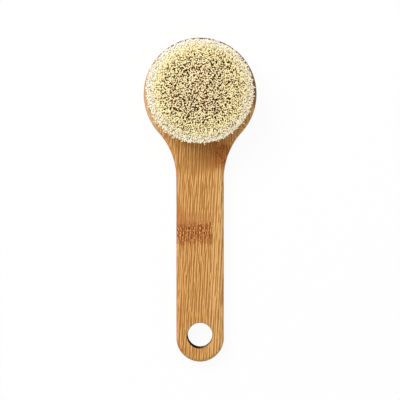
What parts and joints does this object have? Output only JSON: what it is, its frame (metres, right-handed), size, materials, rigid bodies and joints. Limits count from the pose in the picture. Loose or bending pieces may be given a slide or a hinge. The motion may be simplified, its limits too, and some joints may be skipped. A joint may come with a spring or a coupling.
{
  "type": "shower brush",
  "caption": "Short-handled bath brush: a round-headed bamboo board with a hanging hole, set with a dense round pad of upright natural bristles.",
  "frame": {"origin": "centre of the round head, on the board's flat back face", "axes": "+Z out of the bristles; -Y along the handle, so +Y points to the head's far end; +X to the right with the handle towards the viewer and the bristles up"},
  "size_m": [0.082, 0.235, 0.0371],
  "materials": {
    "bamboo": "satin",
    "bristle": "matte"
  },
  "bodies": {
    "root": {"bamboo_board": "bamboo", "tuft_centre": "bristle", "tuft_ring1_01": "bristle", "tuft_ring1_02": "bristle", "tuft_ring1_03": "bristle", "tuft_ring1_04": "bristle", "tuft_ring1_05": "bristle", "tuft_ring1_06": "bristle", "tuft_ring2_01": "bristle", "tuft_ring2_02": "bristle", "tuft_ring2_03": "bristle", "tuft_ring2_04": "bristle", "tuft_ring2_05": "bristle", "tuft_ring2_06": "bristle", "tuft_ring2_07": "bristle", "tuft_ring2_08": "bristle", "tuft_ring2_09": "bristle", "tuft_ring2_10": "bristle", "tuft_ring2_11": "bristle", "tuft_ring3_01": "bristle", "tuft_ring3_02": "bristle", "tuft_ring3_03": "bristle", "tuft_ring3_04": "bristle", "tuft_ring3_05": "bristle", "tuft_ring3_06": "bristle", "tuft_ring3_07": "bristle", "tuft_ring3_08": "bristle", "tuft_ring3_09": "bristle", "tuft_ring3_10": "bristle", "tuft_ring3_11": "bristle", "tuft_ring3_12": "bristle", "tuft_ring3_13": "bristle", "tuft_ring3_14": "bristle", "tuft_ring3_15": "bristle", "tuft_ring3_16": "bristle", "tuft_ring3_17": "bristle", "tuft_ring4_01": "bristle", "tuft_ring4_02": "bristle", "tuft_ring4_03": "bristle", "tuft_ring4_04": "bristle", "tuft_ring4_05": "bristle", "tuft_ring4_06": "bristle", "tuft_ring4_07": "bristle", "tuft_ring4_08": "bristle", "tuft_ring4_09": "bristle", "tuft_ring4_10": "bristle", "tuft_ring4_11": "bristle", "tuft_ring4_12": "bristle", "tuft_ring4_13": "bristle", "tuft_ring4_14": "bristle", "tuft_ring4_15": "bristle", "tuft_ring4_16": "bristle", "tuft_ring4_17": "bristle", "tuft_ring4_18": "bristle", "tuft_ring4_19": "bristle", "tuft_ring4_20": "bristle", "tuft_ring4_21": "bristle", "tuft_ring4_22": "bristle", "tuft_ring4_23": "bristle"}
  },
  "joints": []
}
